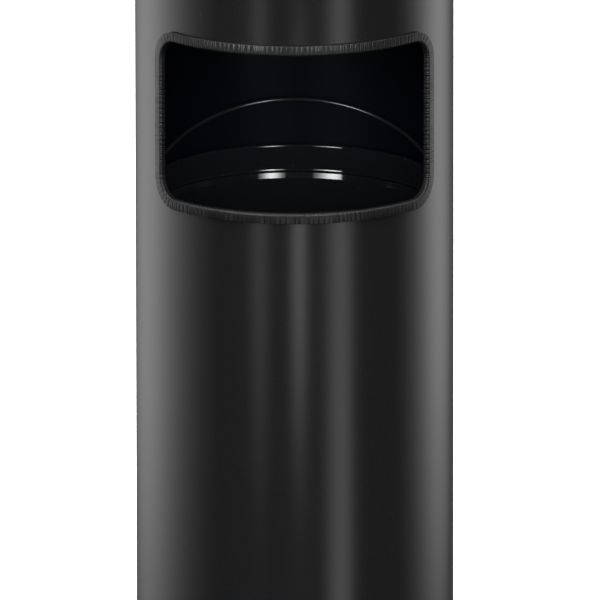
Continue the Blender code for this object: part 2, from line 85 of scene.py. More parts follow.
SHELL_OUT = SHELL_HIGH.x
SHELL_IN = SHELL_OUT - SHELL_SHEET
SHELL_BOTTOM = SHELL_LOW.z
SHELL_TOP = SHELL_HIGH.z
TRIM_OUT = -TRIM_LOW.y
TRIM_IN = 2 * SHELL_OUT - SHELL_SHEET - TRIM_OUT
MOUTH_BOTTOM = TRIM_LOW.z + TRIM_LEG
MOUTH_TOP = TRIM_HIGH.z - TRIM_LEG
MOUTH_MIDDLE = (MOUTH_BOTTOM + MOUTH_TOP) / 2
MOUTH_END = SHELL_OUT * math.asin(TRIM_HIGH.x / TRIM_OUT) - TRIM_LEG + TRIM_ROUND
MOUTH_FLAT = MOUTH_END - MOUTH_CORNER
MOUTH_SIDE = (MOUTH_TOP - MOUTH_BOTTOM) / 2 - MOUTH_CORNER
LINER_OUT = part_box("bail_ear_right")[0].x - FIT_GAP
LINER_IN = LINER_OUT - LINER_SHEET

# Seams
SHELL_SEAM = math.pi
SHELL_WELD_HEIGHT = 0.00016
SHELL_WELD_WIDTH = 0.0016
LINER_SEAM = math.pi - 0.050
LINER_SEAM_STEP = 0.00006
LINER_SEAM_WIDTH = 0.0008


# ---------------------------------------------------------------- surfaces


def round_z(radius, angle, height):
    """Places on a round wall: (r sin a, -r cos a, z)."""
    radius, angle, height = np.broadcast_arrays(radius, angle, height)
    return np.stack([radius * np.sin(angle), -radius * np.cos(angle), height], -1)


def quads_of(rows, columns, wrap_rows, wrap_columns):
    """Each face's four corner numbers on a grid; a wrapped side joins its last line to its first."""
    i, j = np.meshgrid(
        np.arange(rows - (not wrap_rows)), np.arange(columns - (not wrap_columns)), indexing="ij"
    )
    up, along = (i + 1) % rows, (j + 1) % columns
    corners = [i * columns + j, i * columns + along, up * columns + along, up * columns + j]
    return np.stack(corners, -1)


def angles_round(count, seams=()):
    """Even angles once round, with finer ones near each seam, given as (angle, reach, parts)."""
    even = np.linspace(-math.pi, math.pi, count, endpoint=False)
    fine = [angle + np.linspace(-reach, reach, parts) for angle, reach, parts in seams]
    every = np.concatenate([even, *fine])
    return np.unique(np.round((every + math.pi) % math.tau - math.pi, 6))


def corner_arc(before, corner, after, fillet):
    """Points of the arc that turns a corner at the fillet's radius, with a point just before and after it."""
    back, ahead = before - corner, after - corner
    room = min(np.linalg.norm(back), np.linalg.norm(ahead))
    back, ahead = back / np.linalg.norm(back), ahead / np.linalg.norm(ahead)
    half = math.acos(np.clip(back @ ahead, -1, 1)) / 2
    reach = fillet / math.tan(half)
    centre = corner + (back + ahead) / np.linalg.norm(back + ahead) * fillet / math.sin(half)
    turn = math.pi - 2 * half
    share = np.linspace(0, 1, ARC_PARTS + 1)[:, None]
    start, end = corner + back * reach - centre, corner + ahead * reach - centre
    line = centre + (np.sin((1 - share) * turn) * start + np.sin(share * turn) * end) / math.sin(turn)
    if reach + SUPPORT < room * 0.5:
        beyond = reach + SUPPORT
        line = np.concatenate([[corner + back * beyond], line, [corner + ahead * beyond]])
    return line


def bent(corners, closed=False):
    """A line through (r, z, fillet) corners, with an arc at each corner that has a fillet."""
    places = np.array([corner[:2] for corner in corners], float)
    count = len(corners)
    line = []
    for i, fillet in enumerate(corner[2] for corner in corners):
        if fillet and (closed or 0 < i < count - 1):
            line.append(corner_arc(places[i - 1], places[i], places[(i + 1) % count], fillet))
        else:
            line.append(places[i : i + 1])
    return np.concatenate(line)


def unit(vectors):
    """Each vector divided by its own length."""
    return vectors / np.linalg.norm(vectors, axis=-1, keepdims=True)


def sheet_faces(line, thickness, side):
    """Both faces of a bent sheet as one line: out along one, round the sheet's edge, back along the other.

    side is 1 where the second face lies to the right of the line's direction, and -1 to its left. A line that
    starts on the axis stays open there, and any other is closed by a second rounded edge.
    """
    tangent = unit(np.gradient(line, axis=0))
    tangent[0], tangent[-1] = unit(line[1] - line[0]), unit(line[-1] - line[-2])
    other = line + side * thickness * np.stack([tangent[:, 1], -tangent[:, 0]], 1)
    turn = np.linspace(0, math.pi, 6)[1:-1, None]

    def edge(start, end, ahead):
        centre, arm = (start + end) / 2, (start - end) / 2
        return centre + np.cos(turn) * arm + np.sin(turn) * ahead * thickness / 2

    parts = [line, edge(line[-1], other[-1], tangent[-1]), other[::-1]]
    if line[0, 0] > MERGE_DISTANCE:
        parts.append(edge(other[0], line[0], -tangent[0]))
    return np.concatenate(parts)


def bend_of(line, closed):
    """How sharply a line turns at each point, from 0 on a straight to 1 on a bend of 1 mm or tighter."""
    before, after = np.roll(line, 1, 0), np.roll(line, -1, 0)
    first, second = line - before, after - line
    size = np.linalg.norm(first, axis=1) * np.linalg.norm(second, axis=1) + 1e-12
    turn = np.arccos(np.clip((first * second).sum(1) / size, -1, 1))
    reach = (np.linalg.norm(first, axis=1) + np.linalg.norm(second, axis=1)) / 2 + 1e-9
    bend = np.clip(turn / reach * 0.001, 0, 1)
    if not closed:
        bend[0] = bend[-1] = 0
    return bend


def show(name, data):
    """A new object at the origin, put into the scene."""
    thing = bpy.data.objects.new(name, data)
    bpy.context.scene.collection.objects.link(thing)
    return thing


def add_surface(name, points, faces, finish, body, nodes=(), bend=None, close=True):
    """Makes a piece from places and quads, merges its seams and poles and turns its faces outwards."""
    places = np.ascontiguousarray(points.reshape(-1, 3), np.float32)
    faces = np.ascontiguousarray(faces.reshape(-1, 4), np.int32)
    mesh = bpy.data.meshes.new(name)
    mesh.vertices.add(len(places))
    mesh.vertices.foreach_set("co", places.ravel())
    mesh.loops.add(faces.size)
    mesh.loops.foreach_set("vertex_index", faces.ravel())
    mesh.polygons.add(len(faces))
    mesh.polygons.foreach_set("loop_start", np.arange(len(faces), dtype=np.int32) * 4)
    mesh.update(calc_edges=True)
    weights = np.zeros(len(places)) if bend is None else np.broadcast_to(bend, points.shape[:-1]).ravel()
    mesh.attributes.new("bend", "FLOAT", "POINT").data.foreach_set("value", weights.astype(np.float32))
    shape = bmesh.new()
    shape.from_mesh(mesh)
    bmesh.ops.delete(shape, geom=[v for v in shape.verts if not v.link_faces], context="VERTS")
    bmesh.ops.remove_doubles(shape, verts=shape.verts, dist=MERGE_DISTANCE)
    if close:
        bmesh.ops.recalc_face_normals(shape, faces=shape.faces)
    shape.to_mesh(mesh)
    shape.free()
    mesh.shade_smooth()
    mesh.set_sharp_from_angle(angle=SHARP_ANGLE)
    mesh.materials.append(finish)
    piece = show(name, mesh)
    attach(piece, body)
    if nodes:
        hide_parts(*nodes)
    return piece


def turned(name, line, finish, body, nodes, angles=None, push=None):
    """A closed profile turned once round the Z axis: each point (r, z) goes to (r sin a, -r cos a, z).

    push gives how far each place moves outwards, from its radius, height and angle.
    """
    closed = line[0, 0] > MERGE_DISTANCE
    angles = angles_round(ROUND_COLUMNS) if angles is None else angles
    radius, height = np.broadcast_arrays(line[:, :1], angles)[0], line[:, 1:]
    if push:
        radius = radius + push(radius, height, angles)
    points = round_z(radius, angles, height)
    faces = quads_of(len(line), len(angles), closed, True)
    return add_surface(name, points, faces, finish, body, nodes, bend_of(line, closed)[:, None])


def ridge(angles, centre, width, radius):
    """A smooth bump across a seam: exp(-(distance / width)^2), by arc distance from the seam."""
    away = (angles - centre + math.pi) % math.tau - math.pi
    return np.exp(-((away * radius / width) ** 2))


# ---------------------------------------------------------------- node trees


def put(tree, kind, values=None, **settings):
    """A new node; values gives inputs by name or number, as a number, a colour or another node's output."""
    node = tree.nodes.new(kind)
    for key, value in settings.items():
        setattr(node, key, value)
    for key, value in (values or {}).items():
        if isinstance(value, bpy.types.NodeSocket):
            tree.links.new(value, node.inputs[key])
        else:
            node.inputs[key].default_value = value
    return node


def calc(tree, operation, first, second):
    """A Math node's output."""
    return put(tree, "ShaderNodeMath", {0: first, 1: second}, operation=operation).outputs[0]


def times(tree, first, second):
    return calc(tree, "MULTIPLY", first, second)


def plus(tree, first, second):
    return calc(tree, "ADD", first, second)


def minus(tree, first, second):
    return calc(tree, "SUBTRACT", first, second)


def between(tree, value, low, high, to_low=0.0, to_high=1.0):
    """Carries a value from one range to another, held inside it."""
    values = {"Value": value, "From Min": low, "From Max": high, "To Min": to_low, "To Max": to_high}
    return put(tree, "ShaderNodeMapRange", values).outputs[0]


def mixed(tree, share, first, second):
    values = {0: share, 6: first, 7: second}
    return put(tree, "ShaderNodeMix", values, data_type="RGBA").outputs[2]


def noise(tree, place, scale, detail=2.0, roughness=0.5):
    values = {"Vector": place, "Scale": scale, "Detail": detail, "Roughness": roughness}
    return put(tree, "ShaderNodeTexNoise", values).outputs["Fac"]


def grey(value):
    return (value, value, value, 1.0)


def scaled(colour, share):
    """A colour made lighter or darker by a share."""
    return tuple(channel * share for channel in colour[:3]) + (1.0,)


def new_group(name, inputs, outputs):
    """An empty shader node group; inputs and outputs are (name, kind, value) of its sockets."""
    group = bpy.data.node_groups.new(name, "ShaderNodeTree")
    for way, sockets in (("INPUT", inputs), ("OUTPUT", outputs)):
        for label, kind, value in sockets:
            socket = group.interface.new_socket(label, in_out=way, socket_type="NodeSocket" + kind)
            if value is not None:
                socket.default_value = value
    given = group.nodes.new("NodeGroupInput").outputs
    result = group.nodes.new("NodeGroupOutput").inputs
    return group, given, result


def powder_grain_group():
    """Baked powder: a fine grain on a soft orange peel, and a roughness that drifts over the surface."""
    inputs = [("Place", "Vector", None), ("Grain Scale", "Float", 2600.0), ("Peel Scale", "Float", 420.0)]
    inputs += [("Peel", "Float", 0.5), ("Roughness", "Float", 0.3), ("Drift", "Float", 0.04)]
    outputs = [("Height", "Float", None), ("Roughness", "Float", None), ("Fleck", "Float", None)]
    group, given, result = new_group("powder_grain", inputs, outputs)
    fine = noise(group, given["Place"], given["Grain Scale"], 1.0)
    peel = noise(group, given["Place"], given["Peel Scale"], 2.0)
    height = plus(group, fine, times(group, peel, given["Peel"]))
    group.links.new(height, result["Height"])
    broad = minus(group, noise(group, given["Place"], 22.0, 3.0), 0.5)
    drift = times(group, broad, times(group, given["Drift"], 2.0))
    grainy = times(group, minus(group, fine, 0.5), given["Drift"])
    rough = plus(group, given["Roughness"], plus(group, drift, grainy))
    group.links.new(rough, result["Roughness"])
    group.links.new(between(group, fine, 0.35, 0.65), result["Fleck"])
    return group


def edge_wear_group():
    """Where bends and edges are rubbed: the bend attribute, broken up by a blotchy noise."""
    inputs = [("Place", "Vector", None), ("Bend", "Float", 0.0)]
    inputs += [("Amount", "Float", 0.5), ("Scale", "Float", 180.0)]
    group, given, result = new_group("edge_wear", inputs, [("Mask", "Float", None)])
    blotch = noise(group, given["Place"], given["Scale"], 4.0, 0.65)
    reach = plus(group, times(group, given["Bend"], given["Amount"]), blotch)
    group.links.new(between(group, reach, 0.72, 0.86), result["Mask"])
    return group


def dust_group():
    """Fine dust that settles on faces that look up, in soft uneven patches."""
    inputs = [("Place", "Vector", None), ("Amount", "Float", 0.3)]
    group, given, result = new_group("settled_dust", inputs, [("Mask", "Float", None)])
    normal = put(group, "ShaderNodeNewGeometry").outputs["Normal"]
    up = put(group, "ShaderNodeSeparateXYZ", {0: normal}).outputs["Z"]
    facing = between(group, up, 0.25, 1.0)
    patch = between(group, noise(group, given["Place"], 60.0, 5.0, 0.6), 0.35, 0.75)
    speck = between(group, noise(group, given["Place"], 1900.0, 1.0), 0.55, 0.75)
    both = plus(group, times(group, patch, 0.6), times(group, speck, 0.4))
    mask = times(group, times(group, facing, both), given["Amount"])
    group.links.new(mask, result["Mask"])
    return group


def moulded_grain_group():
    """Matt moulded plastic: a pebbled skin with a faint sheen pattern from its flow."""
    inputs = [("Place", "Vector", None), ("Scale", "Float", 1500.0), ("Roughness", "Float", 0.45)]
    outputs = [("Height", "Float", None), ("Roughness", "Float", None), ("Tone", "Float", None)]
    group, given, result = new_group("moulded_grain", inputs, outputs)
    values = {"Vector": given["Place"], "Scale": given["Scale"]}
    pebble = put(group, "ShaderNodeTexVoronoi", values, feature="SMOOTH_F1").outputs["Distance"]
    flow = noise(group, given["Place"], 45.0, 4.0, 0.6)
    group.links.new(plus(group, pebble, times(group, flow, 0.3)), result["Height"])
    shift = times(group, minus(group, flow, 0.5), 0.2)
    group.links.new(plus(group, given["Roughness"], shift), result["Roughness"])
    group.links.new(between(group, flow, 0.3, 0.7), result["Tone"])
    return group


POWDER_GRAIN = powder_grain_group()
EDGE_WEAR = edge_wear_group()
SETTLED_DUST = dust_group()
MOULDED_GRAIN = moulded_grain_group()


def use(tree, group, values):
    """A copy of a shared group in a material, with its own values."""
    return put(tree, "ShaderNodeGroup", values, node_tree=group).outputs


def new_finish(name, **constants):
    """A material with its Principled shader, its Object coordinates and the shader's constant values."""
    finish = bpy.data.materials.new(name)
    finish.use_nodes = True
    tree = finish.node_tree
    shader = tree.nodes["Principled BSDF"]
    for key, value in constants.items():
        shader.inputs[key.replace("_", " ")].default_value = value
    place = put(tree, "ShaderNodeTexCoord").outputs["Object"]
    return finish, tree, shader, place


def give(tree, shader, colour, roughness, metallic=None):
    for key, socket in (("Base Color", colour), ("Roughness", roughness), ("Metallic", metallic)):
        if socket is not None:
            tree.links.new(socket, shader.inputs[key])


def bump(tree, shader, height, distance):
    values = {"Height": height, "Distance": distance}
    tree.links.new(put(tree, "ShaderNodeBump", values).outputs[0], shader.inputs["Normal"])


def bend_value(tree):
    return put(tree, "ShaderNodeAttribute", attribute_name="bend").outputs["Fac"]


def painted(name, colour, under, roughness, drift, peel, grain_depth, wear, dust, **constants):
    """Paint on steel: its grain and drift, rubbed bends that show the metal under it, and a little dust."""
    finish, tree, shader, place = new_finish(name, **constants)
    grain = use(tree, POWDER_GRAIN, {"Place": place, "Peel": peel, "Roughness": roughness, "Drift": drift})
    worn = use(tree, EDGE_WEAR, {"Place": place, "Bend": bend_value(tree), "Amount": wear})["Mask"]
    dusty = use(tree, SETTLED_DUST, {"Place": place, "Amount": dust})["Mask"]
    lighter = scaled(colour, 1.5)
    paint = mixed(tree, grain["Fleck"], colour, lighter)
    shown = mixed(tree, dusty, mixed(tree, worn, paint, under), DUST_COLOUR)
    rough = plus(tree, grain["Roughness"], times(tree, dusty, 0.5))
    give(tree, shader, shown, rough, times(tree, worn, 0.8))
    bump(tree, shader, grain["Height"], grain_depth)
    return finish


def moulded(name, colour, scale, roughness, depth, wear, dust):
    """Black plastic with a moulded skin, greyed a little where it is handled and dusty on top."""
    finish, tree, shader, place = new_finish(name)
    skin = use(tree, MOULDED_GRAIN, {"Place": place, "Scale": scale, "Roughness": roughness})
    worn = use(tree, EDGE_WEAR, {"Place": place, "Bend": bend_value(tree), "Amount": wear})["Mask"]
    dusty = use(tree, SETTLED_DUST, {"Place": place, "Amount": dust})["Mask"]
    lighter = scaled(colour, 1.35)
    rubbed = scaled(colour, 2.2)
    shown = mixed(tree, worn, mixed(tree, skin["Tone"], colour, lighter), rubbed)
    give(tree, shader, mixed(tree, dusty, shown, DUST_COLOUR), skin["Roughness"])
    bump(tree, shader, skin["Height"], depth)
    return finish


def ribbed_plastic():
    """The trim's rubbery plastic: a fine skin, with painted shade that sinks its colour to near black in the
    grooves between ribs.
    """
    finish, tree, shader, place = new_finish("trim_plastic", Specular_IOR_Level=0.28)
    skin = use(tree, MOULDED_GRAIN, {"Place": place, "Scale": 2400.0, "Roughness": TRIM_ROUGHNESS})
    dusty = use(tree, SETTLED_DUST, {"Place": place, "Amount": 0.03})["Mask"]
    mottle = between(tree, noise(tree, place, 420.0, 3.0, 0.6), 0.35, 0.65)
    lit = mixed(tree, mottle, TRIM_DARK, TRIM_LIGHT)
    # Painted shade: the groove depth that the trim carries in its bend attribute darkens the colour to near
    # black between the ribs.
    shown = mixed(tree, between(tree, bend_value(tree), 0.05, 0.55), lit, PAINTED_GROOVE_SHADE)
    give(tree, shader, mixed(tree, dusty, shown, DUST_COLOUR), skin["Roughness"])
    bump(tree, shader, skin["Height"], 0.00001)
    return finish


def plated(name, colour, roughness):
    """Zinc on steel: a cloudy tone, fine scratches and a roughness that follows both."""
    finish, tree, shader, place = new_finish(name, Metallic=1.0)
    cloud = noise(tree, place, 320.0, 4.0, 0.6)
    scratch = noise(tree, place, 5200.0, 2.0, 0.7)
    darker = scaled(colour, 0.6)
    rough = plus(tree, roughness, times(tree, minus(tree, cloud, 0.5), 0.3))
    give(tree, shader, mixed(tree, between(tree, cloud, 0.3, 0.7), darker, colour), rough)
    bump(tree, shader, scratch, 0.00003)
    return finish


def loose_sand():
    """Quartz grains: each cell has its own tone, from brown to almost white, and a small bump."""
    finish, tree, shader, place = new_finish("loose_sand", IOR=1.45)
    cells = put(tree, "ShaderNodeTexVoronoi", {"Vector": place, "Scale": 1500.0}, feature="F1")
    tone = put(tree, "ShaderNodeSeparateColor", {0: cells.outputs["Color"]}).outputs[0]
    damp = between(tree, noise(tree, place, 28.0, 4.0), 0.35, 0.7)
    pale = mixed(tree, tone, (0.36, 0.27, 0.17, 1.0), (0.78, 0.69, 0.54, 1.0))
    dark = mixed(tree, between(tree, tone, 0.93, 0.96), pale, (0.09, 0.07, 0.06, 1.0))
    shown = mixed(tree, times(tree, damp, 0.25), dark, (0.30, 0.23, 0.15, 1.0))
    give(tree, shader, shown, between(tree, tone, 0.0, 1.0, 0.95, 0.6))
    bump(tree, shader, minus(tree, 1.0, cells.outputs["Distance"]), 0.0003)
    return finish


DUST_COLOUR = (0.16, 0.15, 0.14, 1.0)
BARE_STEEL = (0.30, 0.30, 0.31, 1.0)
TRIM_DARK = (0.013, 0.013, 0.014, 1.0)
TRIM_LIGHT = (0.023, 0.023, 0.024, 1.0)
TRIM_ROUGHNESS = 0.36
# Painted shade: the near black that the trim's rib grooves are darkened to.
PAINTED_GROOVE_SHADE = grey(0.002)

charcoal_paint = painted(
    "charcoal_paint", (0.012, 0.0123, 0.0130, 1.0), BARE_STEEL, roughness=0.19, drift=0.02, peel=1.2,
    grain_depth=0.000006, wear=0.10, dust=0.10,
)
# Painted shade: the inside of the shell has the same powder paint as the outside, made darker and bluer for
# its dim, closed interior.
inner_paint_and_shade = painted(
    "inner_black_paint", (0.0052, 0.0068, 0.0118, 1.0), BARE_STEEL, roughness=0.30, drift=0.02, peel=2.0,
    grain_depth=0.000004, wear=0.12, dust=0.0, Specular_IOR_Level=0.09,
)
gloss_black = painted(
    "gloss_black_paint", (0.019, 0.0205, 0.0245, 1.0), BARE_STEEL, roughness=0.06, drift=0.02, peel=2.0,
    grain_depth=0.000002, wear=0.12, dust=0.0,
)
wire_paint = painted(
    "wire_paint", (0.030, 0.030, 0.033, 1.0), BARE_STEEL, roughness=0.14, drift=0.03, peel=1.0,
    grain_depth=0.000005, wear=0.06, dust=0.02,
)
trim_plastic = ribbed_plastic()
ring_plastic = moulded(
    "ring_plastic", (0.015, 0.015, 0.016, 1.0), scale=1600.0, roughness=0.5, depth=0.00006,
    wear=0.08, dust=0.25,
)
rivet_steel = plated("rivet_steel", (0.46, 0.46, 0.47, 1.0), 0.34)
clip_steel = plated("clip_steel", (0.40, 0.40, 0.41, 1.0), 0.40)
sand_finish = loose_sand()


# ---------------------------------------------------------------- shell


def mouth_half_height(across):
    """Half the mouth's height at an arc length from its middle: side + sqrt(corner^2 - into^2)."""
    into = np.clip(np.abs(across) - MOUTH_FLAT, 0, MOUTH_CORNER)
    return MOUTH_SIDE + np.sqrt(MOUTH_CORNER**2 - into**2)


def shell_columns():
    """Arc lengths once round: close together on the mouth's corners and at the weld, even elsewhere."""
    corner = MOUTH_FLAT + MOUTH_CORNER * np.sin(np.linspace(0, math.pi / 2, 15))
    middle = np.linspace(-MOUTH_FLAT, MOUTH_FLAT, 92)
    half_round = math.pi * SHELL_OUT
    weld = half_round - np.linspace(0, 3 * SHELL_WELD_WIDTH, 13)
    side = np.concatenate([[MOUTH_END + SUPPORT], np.linspace(MOUTH_END, weld[-1], 118)[1:]])
    right = np.concatenate([corner, side, weld[1:]])
    return np.unique(np.round(np.concatenate([middle, right, -right, -weld[:1]]), 7))


def shell_rows(half):
    """(radius, height) up the sheet at each column: below, beside and above the mouth, then the folded hem.

    Below and above the mouth the rows are spread evenly between the mouth's edge and the shell's edge.
    """
    low, high = MOUTH_MIDDLE - half, MOUTH_MIDDLE + half
    fold_start = SHELL_TOP - FOLD_RADIUS
    hem_end = SHELL_TOP - HEM_HEIGHT
    spread = np.concatenate([np.linspace(0, 0.985, 19), [0.9985, 1.0]])[:, None]
    straight = np.linspace(0, 1, 9)[1:, None]
    below = SHELL_BOTTOM + (low - SHELL_BOTTOM) * spread
    beside = low + (high - low) * straight
    above = fold_start - SUPPORT - (fold_start - SUPPORT - high) * spread[-2::-1]
    turn = np.linspace(0, math.pi, 9)[:, None] + 0 * half
    drop = fold_start - (fold_start - hem_end) * np.array([0.08, 0.5, 1.0])[:, None] + 0 * half
    height = np.concatenate([below, beside, above, fold_start + FOLD_RADIUS * np.sin(turn), drop])
    flat_rows = len(below) + len(beside) + len(above)
    radius = np.full(height.shape, SHELL_OUT)
    radius[flat_rows : flat_rows + 9] = SHELL_OUT - FOLD_RADIUS + FOLD_RADIUS * np.cos(turn)
    radius[flat_rows + 9 :] = SHELL_OUT - 2 * FOLD_RADIUS
    return radius, height, len(below) - 1, len(below) + len(beside) - 1


def make_shell():
    """The rolled sheet as one skin, r(a, z) = R plus the weld's low ridge, open at the mouth, then thickened.

    Its rows carry on over the top, round the fold and down the inside as the hem.
    """
    across = shell_columns()
    angles = across / SHELL_OUT
    half = mouth_half_height(across)
    radius, height, mouth_low, mouth_high = shell_rows(half)
    above_ring = np.clip((height - RING_HIGH.z) / 0.01, 0, 1)
    radius = radius + SHELL_WELD_HEIGHT * ridge(angles, SHELL_SEAM, SHELL_WELD_WIDTH, SHELL_OUT) * above_ring
    faces = quads_of(len(height), len(across), False, True)
    inside = np.abs(across) < MOUTH_END - MERGE_DISTANCE
    over_mouth = inside | (np.roll(inside, -1) & (across < MOUTH_END))
    kept = np.ones(faces.shape[:2], bool)
    kept[mouth_low:mouth_high, over_mouth] = False
    points = round_z(radius, angles, height)
    shell = add_surface(
        "outer_shell_skin", points, faces[kept], charcoal_paint, "bin", ["outer_shell"],
        close=False,
    )
    # The inside faces take the darker, bluer paint, whose colour holds painted shade.
    shell.data.materials.append(inner_paint_and_shade)
    wall = shell.modifiers.new("sheet", "SOLIDIFY")
    wall.material_offset = 1
    wall.thickness = SHELL_SHEET
    wall.offset = -1
    wall.use_even_offset = True


make_shell()


# ---------------------------------------------------------------- edge trim

TRIM_RIB_PITCH = 0.0039
TRIM_RIB_RINGS = 11
TRIM_RIB_DEPTH = 0.00045
TRIM_LIP_GAP = 0.00015
TRIM_WALL = 0.0014
TRIM_BACK = 0.0025
TRIM_JOINT_OFFSET = 0.0076
TRIM_JOINT_GAP = 0.0005
TRIM_TIP_LENGTH = 0.0020
TRIM_UNDERCUT = 0.0011
TRIM_SKIN = 0.0008


def mouth_edge(along):
    """(across, height) and the outward direction along the mouth's edge, from the middle of its bottom.

    The edge is a rounded rectangle: straights along the flats and sides, quarter circles at the corners.
    """
    flat, side, corner = MOUTH_FLAT, MOUTH_SIDE, MOUTH_CORNER
    quarter = corner * math.pi / 2
    stretches = [flat, quarter, 2 * side, quarter, 2 * flat, quarter, 2 * side, quarter, flat]
    ends = np.cumsum(stretches)
    starts = ends - stretches
    total = ends[-1]
    along = along % total
    turned_by = sum(np.clip((along - starts[k]) / corner, 0, math.pi / 2) for k in (1, 3, 5, 7)) - math.pi / 2
    out = np.stack([np.cos(turned_by), np.sin(turned_by)], 1)
    run = [np.clip(along - starts[k], 0, stretches[k]) for k in (0, 2, 4, 6, 8)]
    centre_across = run[0] - run[2] + run[4]
    centre_height = -side + run[1] - run[3]
    return np.stack([centre_across, centre_height], 1) + corner * out, out, total


def trim_profile():
    """The trim's section as (into the sheet, radius): two legs round the edge, each with a lip on the sheet.

    Each leg's end is cut back under its outer skin, which leaves a thin dark line between skin and sheet.
    """
    lip_out, lip_in = SHELL_OUT + TRIM_LIP_GAP, SHELL_IN - TRIM_LIP_GAP
    channel_out, channel_in = TRIM_OUT - TRIM_WALL, TRIM_IN + TRIM_WALL
    back = TRIM_WALL - TRIM_BACK
    tip = TRIM_LEG - TRIM_TIP_LENGTH
    foot = TRIM_LEG - TRIM_UNDERCUT
    return [
        (TRIM_LEG, TRIM_OUT - TRIM_SKIN, 0.0001),
        (TRIM_LEG, TRIM_OUT, 0.0004),
        (-TRIM_BACK, TRIM_OUT, 0.0017),
        (-TRIM_BACK, TRIM_IN, 0.0017),
        (TRIM_LEG, TRIM_IN, 0.0004),
        (TRIM_LEG, TRIM_IN + TRIM_SKIN, 0.0001),
        (foot, lip_in, 0.0),
        (tip, lip_in, 0.0),
        (tip, channel_in, 0.0),
        (back, channel_in, 0.0),
        (back, channel_out, 0.0),
        (tip, channel_out, 0.0),
        (tip, lip_out, 0.0),
        (foot, lip_out, 0.0),
    ]


def trim_line():
    """The section's points: a few on each rounded corner, and two more on the back and on each leg."""
    places = np.array([corner[:2] for corner in trim_profile()])
    fillets = [corner[2] for corner in trim_profile()]
    line = []
    for i, fillet in enumerate(fillets):
        if fillet:
            arc = corner_arc(places[i - 1], places[i], places[(i + 1) % len(places)], fillet)
            ends = (len(arc) - ARC_PARTS - 1) // 2
            line.append(arc[[0, 1, 3, 6, 8, 9]] if fillet > 0.001 else arc[[ends, -1 - ends]])
        else:
            line.append(places[i : i + 1])
    return np.concatenate(line)


def rib_groove(along, total):
    """How deep the groove is between two ribs: a narrow notch, |cos|^7, once a pitch, and |sin|^9 half way.

    Each notch has its own drawn depth, and the ribs' places sway a little along the edge by two sines.
    """
    count = int(round(total / TRIM_RIB_PITCH))
    draw = np.random.default_rng(5)
    depth = draw.uniform(0.35, 1.0, count)
    between_ribs = draw.uniform(0.0, 0.6, count)
    at = along / total * count + 0.16 * np.sin(along / 0.0071) + 0.09 * np.sin(along / 0.0023)
    number = np.arange(count)
    first = np.interp((at + 0.5) % count, number, depth) * np.abs(np.cos(math.pi * at)) ** 7
    second = np.interp(at % count, number, between_ribs) * np.abs(np.sin(math.pi * at)) ** 9
    return np.maximum(first, second)


def make_trim():
    """The section carried once round the mouth's edge, from one side of its butt joint to the other.

    place = wall(across + inset * out_across, height + inset * out_height, radius), with the ribs along the
    section's own outward direction.
    """
    total = mouth_edge(np.zeros(1))[2]
    ribs = int(round(total / TRIM_RIB_PITCH))
    gap = TRIM_JOINT_GAP / 2
    along = TRIM_JOINT_OFFSET + np.linspace(gap, total - gap, ribs * TRIM_RIB_RINGS)
    edge, out, _ = mouth_edge(along)
    line = trim_line()
    ahead = unit(np.roll(line, -1, 0) - np.roll(line, 1, 0))
    outward = np.stack([ahead[:, 1], -ahead[:, 0]], 1)
    outer = line[:, 0] < TRIM_LEG - 0.0001
    on_legs = (line[:, 1] > TRIM_OUT - 0.001) | (line[:, 1] < TRIM_IN + 0.001)
    solid_side = on_legs | (line[:, 0] < -TRIM_BACK + 0.001)
    ribbed = (outer & solid_side).astype(float)
    to_middle = np.abs(edge[:, 0]) / MOUTH_END
    strength = 0.35 + 0.65 * np.clip((to_middle - 0.1) / 0.6, 0, 1)
    groove = strength * rib_groove(along, total)
    depth = -TRIM_RIB_DEPTH * groove
    moved = line[None] + (depth[:, None] * ribbed[None])[..., None] * outward[None]
    inset, radius = moved[..., 0], moved[..., 1]
    across = edge[:, :1] + inset * out[:, :1]
    height = MOUTH_MIDDLE + edge[:, 1:] + inset * out[:, 1:]
    points = round_z(radius, across / SHELL_OUT, height)
    ends = np.stack([points[0].mean(0), points[-1].mean(0)])
    first = np.broadcast_to(ends[0], points[:1].shape)
    last = np.broadcast_to(ends[1], points[:1].shape)
    points = np.concatenate([first, points, last])
    faces = quads_of(len(points), len(line), False, True)
    # Painted shade: the groove depth goes into the trim's bend attribute, where it darkens the colour between
    # the ribs.
    groove_shade = np.concatenate([groove[:1], groove, groove[-1:]])[:, None] * ribbed[None]
    add_surface("ribbed_edge_trim", points, faces, trim_plastic, "bin", ["edge_trim"], groove_shade)


make_trim()


# ---------------------------------------------------------------- base

RIVET_ANGLES = math.pi / 4 + math.pi / 2 * np.arange(4)
RIVET_LOW, RIVET_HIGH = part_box("base_rivet_1")
RIVET_HEIGHT = (RIVET_LOW.z + RIVET_HIGH.z) / 2
RIVET_HEAD = (RIVET_HIGH.z - RIVET_LOW.z) / 2
RING_OUT = RING_HIGH.x
RING_IN = SHELL_OUT + FIT_GAP
SINK_RADIUS = RIVET_HEAD + 0.0003
SINK_DEPTH = 0.0018
SINK_EDGE = 0.0003
SINK_FIELD = SINK_RADIUS + SINK_EDGE + 0.0002
SINK_ROWS = 40
SINK_COLUMNS = 44
RING_FOOT_WIDTH = 0.0125
RING_STEP = 0.003
PAN_SHEET = 0.001
PAN_RIM_WIDTH = 0.034
PAN_RECESS = 0.003
RIVET_HEAD_HEIGHT = 0.0012
BASE_RIVET_SHANK, BASE_RIVET_TAIL, BASE_RIVET_TAIL_HEIGHT = 0.0019, 0.003, 0.0022
LUG_RIVET_SHANK, LUG_RIVET_TAIL, LUG_RIVET_TAIL_HEIGHT = 0.0015, 0.0024, 0.0012


